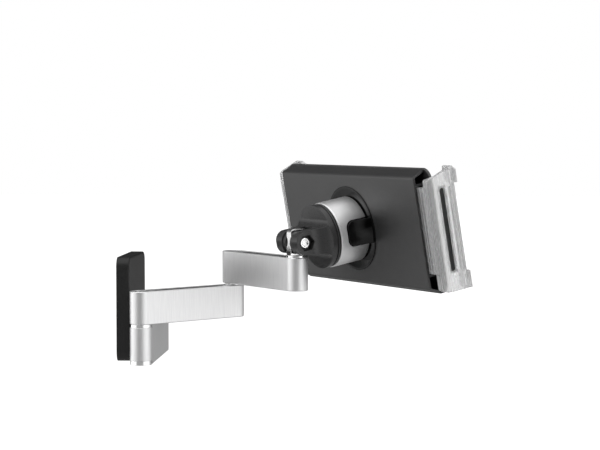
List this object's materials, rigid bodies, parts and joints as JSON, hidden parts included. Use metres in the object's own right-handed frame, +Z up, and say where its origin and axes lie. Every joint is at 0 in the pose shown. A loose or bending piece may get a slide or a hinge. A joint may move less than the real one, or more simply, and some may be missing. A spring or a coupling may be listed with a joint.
{
  "type": "tablet wall mount",
  "caption": "Wall mount with swinging arms and a tilting, turning head whose sliding jaws hold a tablet by its long edges.",
  "frame": {"origin": "middle of the wall plate's back face", "axes": "+Z up, +Y into the wall, +X along the wall"},
  "size_m": [0.1607, 0.2158, 0.1228],
  "materials": {
    "steel": "zinc plated",
    "black_steel": "blackened",
    "cover_plastic": "finely grained",
    "silver": "satin anodised",
    "silver_sleeve": "fine bead blasted",
    "bright": "polished",
    "strip": "satin",
    "dark_nylon": "plain",
    "black_plastic": "satin",
    "gloss_black": "glossy",
    "housing_plastic": "satin",
    "pad_rubber": "matt",
    "clear_grey": "translucent, frosted"
  },
  "bodies": {
    "wall_body": {"wall_plate": "steel", "wall_cover": "cover_plastic", "wall_bar": "silver", "wall_bar_screws": "steel", "wall_pivot_bolt": "bright", "wall_pivot_nut": "steel", "wall_pivot_washer": "bright"},
    "lower_arm_body": {"lower_arm": "silver", "lower_arm_strip": "strip", "elbow_bolt": "steel", "elbow_nut": "steel", "elbow_washer": "bright"},
    "upper_arm_body": {"upper_arm": "silver", "upper_arm_strip": "strip"},
    "swivel_body": {"swivel_post": "bright", "swivel_nut": "steel", "friction_discs": "dark_nylon"},
    "tilt_body": {"clevis_cap": "black_plastic", "tilt_bolt": "bright", "tilt_nut": "black_steel", "trim_ring": "gloss_black", "coupling_sleeve": "silver_sleeve", "coupling_core": "dark_nylon", "coupling_screws": "steel", "spindle_clip": "steel"},
    "button_body": {"release_button": "gloss_black"},
    "holder_body": {"socket_ring": "gloss_black", "socket_keeper": "steel", "holder_back_shell": "housing_plastic", "holder_front_plate": "housing_plastic", "holder_screws": "steel", "holder_pads": "pad_rubber", "pinion_axle": "steel"},
    "near_jaw_body": {"near_jaw": "clear_grey", "near_lining": "pad_rubber", "near_rack": "dark_nylon"},
    "far_jaw_body": {"far_jaw": "clear_grey", "far_lining": "pad_rubber", "far_rack": "dark_nylon"},
    "pinion_body": {"pinion": "dark_nylon"}
  },
  "joints": [
    {"name": "wall_pivot", "type": "hinge", "parent": "wall_body", "child": "lower_arm_body", "pos_m": [-0.0323, -0.0151, -0.0086], "axis": [0, 0, 1], "range_deg": [-130, 40]},
    {"name": "elbow_pivot", "type": "hinge", "parent": "lower_arm_body", "child": "upper_arm_body", "pos_m": [0.01968, -0.06636, 0.0129], "axis": [0, 0, -1], "range_deg": [-105, 75]},
    {"name": "head_swivel", "type": "hinge", "parent": "upper_arm_body", "child": "swivel_body", "pos_m": [-0.0382, -0.11085, 0.0331], "axis": [0, 0, 1], "range_deg": [-145, 12]},
    {"name": "head_tilt", "type": "hinge", "parent": "swivel_body", "child": "tilt_body", "pos_m": [-0.0382, -0.11085, 0.0423], "axis": [-0.8267, -0.5627, 0], "range_deg": [-16, 45]},
    {"name": "holder_turn", "type": "hinge", "parent": "tilt_body", "child": "holder_body", "pos_m": [-0.01618, -0.1432, 0.04955], "axis": [0.5532, -0.8128, 0.1822], "continuous": true},
    {"name": "release_press", "type": "slide", "parent": "tilt_body", "child": "button_body", "axis": [0.8267, 0.5627, 0], "range_m": [0, 0.0022], "stiffness_N_per_m": 500, "springref_m": -0.002},
    {"name": "pinion_turn", "type": "hinge", "parent": "holder_body", "child": "pinion_body", "pos_m": [-0.01394, -0.14649, 0.05029], "axis": [-0.5532, 0.8128, -0.1822], "range_deg": [-19.23, 127.45]},
    {"name": "near_jaw_slide", "type": "slide", "parent": "holder_body", "child": "near_jaw_body", "axis": [-0.8267, -0.5627, 0], "range_m": [-0.003, 0.02]},
    {"name": "far_jaw_slide", "type": "slide", "parent": "holder_body", "child": "far_jaw_body", "axis": [0.8267, 0.5627, 0], "range_m": [-0.00302, 0.02002]}
  ],
  "couplings": [
    {"joint": "pinion_turn", "follows": "near_jaw_slide", "rad_per_m": 111.11},
    {"joint": "far_jaw_slide", "follows": "near_jaw_slide", "ratio": 1}
  ]
}
